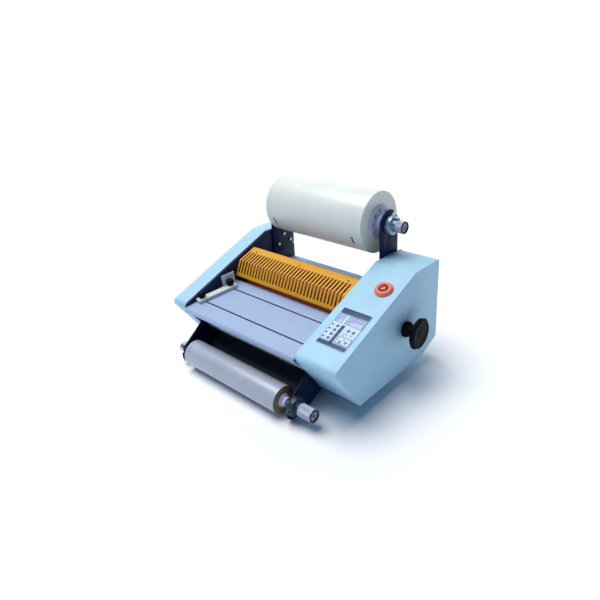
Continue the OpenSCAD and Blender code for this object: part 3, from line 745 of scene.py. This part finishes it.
def pressure_knob():
    """Black hand knob: a lobed boss, a waisted neck and a dished disc with finger scallops."""
    bm = bmesh.new()
    lathe(bm, along_x(RIGHT_FACE, *CAM_AXIS), [
        (1, 7), (1, 17.5, 1.5), (2.2, 19, 3.2), (10, 19, 3.2), (12.5, 17, 2.6), (16, 15.2, 1.6),
        (21, 14.2, 0.6), (26, 14.6), (29.5, 18), (31.6, 25), (33.2, 34, 0.6), (34.6, 36.8, 1.4),
        (36.5, 37.9, 1.9), (39.5, 37.9, 1.9), (42, 37.0, 1.5), (43.8, 34.6, 0.8), (44.6, 32),
        (44.9, 29), (43.9, 27.4), (43.5, 20), (43.6, 12), (44.6, 10.5), (44.8, 8), (44.6, 0)],
        192, 8)
    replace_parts(put("hand_knob", bm, "black", "lift_cam"), "lift_knob")


def thumb_knob(name, node, x, s, body):
    """Fluted black thumb knob on its stud, with the clamping nut under the table."""
    bm = bmesh.new()
    matrix = on_table(x, s)
    lathe(bm, matrix, [
        (9.6, 2.2), (9.6, 4.6), (10, 5), (12.2, 5), (12.8, 6.6), (13.2, 9.0, 0.8), (14.2, 10.2, 1.6),
        (22.4, 10.2, 1.6), (23.6, 9.4, 1.2), (24.3, 7.8, 0.4), (24.5, 5.4), (24.5, 0)], 120, 10)
    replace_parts(put(name, bm, "black", body), node)
    stud = bmesh.new()
    thread = [(z * 0.5 - 7, 1.95 if z % 2 else 1.65) for z in range(34)]
    lathe(stud, matrix, [(-7, 0)] + thread + [(9.7, 1.65), (9.7, 0)], 32)
    lathe(stud, matrix, [(-6, 1.98), (-6, 5.4), (-5.6, 5.9), (-2.9, 5.9), (-2.5, 5.4), (-2.5, 1.98)], 6)
    put(name + "_stud", stud, "zinc", body)


def stop_button():
    """Deep red mushroom button with a turned shoulder ring."""
    bm = bmesh.new()
    lathe(bm, on_slope(*STOP_AT), [
        (-9, 0), (-9, 4.9), (5, 4.9), (5, 10.6), (5.5, 11.15), (7.4, 11.15), (8, 10.7),
        (8.9, 10.0), (9.7, 8.8), (10.4, 6.8), (10.8, 4.2), (10.95, 2), (11, 0)], 96)
    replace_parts(put("stop_mushroom", bm, "red", "stop_push"), "stop_button")


def rubber_feet():
    """Ribbed rubber feet with a recessed screw well."""
    bm = bmesh.new()
    for x in (-150, 150):
        for y in (130, 310):
            lathe(bm, on_ground(x, y), [
                (3, 0), (3, 6), (0, 7), (0, 18.2), (0.8, 19), (5, 19.8), (6.5, 19.4), (7.2, 18.6),
                (9.5, 18.6), (10.2, 19.0), (14, 18.4), (14.8, 17.6), (17, 17.6), (17.8, 17.8),
                (22, 17.2), (22.8, 16.4), (25, 16.4), (25.8, 16.8), (36.9, 15), (36.9, 0)], 64)
    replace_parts(put("ribbed_feet", bm, "foot_rubber", "frame"), "rubber_feet")


pressure_knob()
thumb_knob("thumb_knob_front", "guide_knob_front", GUIDE_X, TRACKS[0], "guide_screw_front")
thumb_knob("thumb_knob_rear", "guide_knob_rear", GUIDE_REAR_X, TRACKS[1], "guide_screw_rear")
stop_button()
rubber_feet()


# ---- Pressure springs ----

SPRING_X = 204
SPRING_SHELF_Z = 229
SPRING_FOOT_Z = 204.3


def spring_coils():
    """The pressure springs, with closed ends, between their feet and their shelf."""
    bm = bmesh.new()
    turns, steps, sides, wire, r = 6, 32, 10, 0.9, 4.5
    low, high = SPRING_FOOT_Z + wire, SPRING_SHELF_Z - 0.3 - wire
    for x in (-SPRING_X, SPRING_X):
        for y in ROLLER_YS:
            rings = []
            for i in range(turns * steps + 1):
                a = 2 * math.pi * i / steps
                climb = min(1, max(0, (i / steps - 0.75) / (turns - 1.5)))
                rings.append([bm.verts.new(at(
                    x + (r + wire * math.cos(b)) * math.cos(a),
                    y + (r + wire * math.cos(b)) * math.sin(a),
                    low + (high - low) * climb + wire * math.sin(b),
                )) for b in (2 * math.pi * k / sides for k in range(sides))])
            bm.faces.new(rings[0])
            bm.faces.new(list(reversed(rings[-1])))
            for near, far in zip(rings, rings[1:]):
                for k in range(sides):
                    n = (k + 1) % sides
                    bm.faces.new((near[k], far[k], far[n], near[n]))
    piece = put("spring_coils", bm, "steel", "frame")
    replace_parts(piece, "pressure_springs")
    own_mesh(piece)


spring_coils()


# ---- Printing on the panel ----

PRINT_Z = (1.22, 1.42)


def panel_bar(bm, x0, s0, x1, s1, r=0.5):
    slab(bm, on_slope(0, 0), rounded_outline(x0, s0, x1, s1, r), *PRINT_Z)


def panel_print():
    """Bars, boxes and plain marks round the displays and the keys."""
    dark = bmesh.new()
    panel_bar(dark, 211, 143.5, 287, 159.2, 0.8)
    panel_bar(dark, 211, 52, 287, 62.5, 0.8)
    panel_bar(dark, 239.2, 58, 247.4, 113, 0.8)
    put("panel_bars", dark, "print_navy", "frame", bevel=0.06)
    pale = bmesh.new()
    for x0, s0, x1, s1 in ((213.2, 117.2, 232.3, 140.5), (240.2, 117.2, 285.8, 140.5),
                           (250.6, 64.5, 285.8, 86)):
        band(pale, on_slope(0, 0), x0, s0, x1, s1, 1.6, 1.4, *PRINT_Z)
    band(pale, on_slope(0, 0), 211, 64, 287, 142.5, 1.4, 0.9, 1.21, 1.36)
    for s in (107, 95, 83, 71):
        slab(pale, on_slope(0, 0), rounded_outline(213.5, s - 2.2, 219, s + 2.2, 0.8), *PRINT_Z)
        slab(pale, on_slope(0, 0), rounded_outline(236.4, s - 0.5, 239.4, s + 0.5, 0.3), *PRINT_Z)
    for x, turn in ((262, 1), (275, -1)):
        base, tip = 94 - 1.6 * turn, 94 + 2.4 * turn
        arrow = [(x - 2.4, base), (x + 2.4, base), (x, tip)][::turn]
        slab(pale, on_slope(0, 0), arrow, *PRINT_Z)
    slab(pale, on_slope(0, 0), rounded_outline(255, 88.5, 258, 91.5, 0.4), *PRINT_Z)
    slab(pale, on_slope(0, 0), rounded_outline(266.5, 77.6, 269.5, 80.6, 1.4), *PRINT_Z)
    put("panel_marks", pale, "print_grey", "frame")


def digit(bm, x, s, w, h, z0, z1):
    """Seven bars of one unlit digit."""
    t = w * 0.17
    half = h / 2
    for y in (0, half, h):
        slab(bm, on_slope(0, 0), rounded_outline(
            x + t, s + y - t / 2, x + w - t, s + y + t / 2, t * 0.3), z0, z1)
    for dx in (0, w - t):
        for dy in (0, half):
            slab(bm, on_slope(0, 0), rounded_outline(
                x + dx, s + dy + t * 0.7, x + dx + t, s + dy + half - t * 0.7, t * 0.3), z0, z1)


def display_digits():
    """Unlit digits behind the two windows."""
    bm = bmesh.new()
    for x, width in ((218, 4.2), (223.6, 4.2), (247, 7), (256, 7), (266, 7), (275, 7)):
        digit(bm, x, 123, width, 10.5, 0.82, 0.90)
    put("display_digits", bm, "segments", "frame")


panel_print()
display_digits()


# ---- Fasteners ----

def fasteners():
    """Cross-headed screws on the guard, the plates and the back wall."""
    c, d = math.cos(GUARD_SLOPE), math.sin(GUARD_SLOPE)
    up_slope = 44
    bm = bmesh.new()
    for x in (-160, 0, 160):
        place = at(x, GUARD_BEND[0] + up_slope * c, GUARD_BEND[1] + up_slope * d)
        screw_head(bm, axes(place, (1, 0, 0), (0, c, d), (0, -d, c)), 2.6, 1.3)
    put("guard_screws", bm, "dark_zinc", "guard")
    plate = bmesh.new()
    for side in (-1, 1):
        for y, z in ((361, 249), (386, 224), (338, 223), (92, 102), (100, 74), (72, 108)):
            screw_head(plate, on_plate(side * (PLATE_IN - 7.4), y, z, -side), 4.2, 1.4)
    put("arm_screws", plate, "steel", "frame")
    back = bmesh.new()
    for x in (-182, -60, 60, 182):
        screw_head(back, on_back(x, COVER_BACK, 148), 3.4, 1.6)
    for x in (206, 292, -206, -232):
        for z in (250, 75):
            screw_head(back, on_back(x, COVER_BACK, z), 3.4, 1.6)
    for z in (125, 71):
        screw_head(back, on_back(250, 403, z), 1.3, 0.5)
    put("back_screws", back, "steel", "frame")


fasteners()


# ---- Stage ----

def make_floor():
    bm = bmesh.new()
    size = 14
    floor = [bm.verts.new((x * size, y * size, -0.0005)) for x, y in ((-1, -1), (1, -1), (1, 1), (-1, 1))]
    bm.faces.new(floor)
    data = bpy.data.meshes.new("floor")
    bm.to_mesh(data)
    bm.free()
    look = Look("floor_paper", 0.9)
    white = (0.92, 0.93, 0.94)
    look.colour(look.ramp(look.noise(2, 2), tint(white, 0.99), white))
    data.materials.append(look.material)
    piece = bpy.data.objects.new("floor", data)
    bpy.context.scene.collection.objects.link(piece)


make_floor()
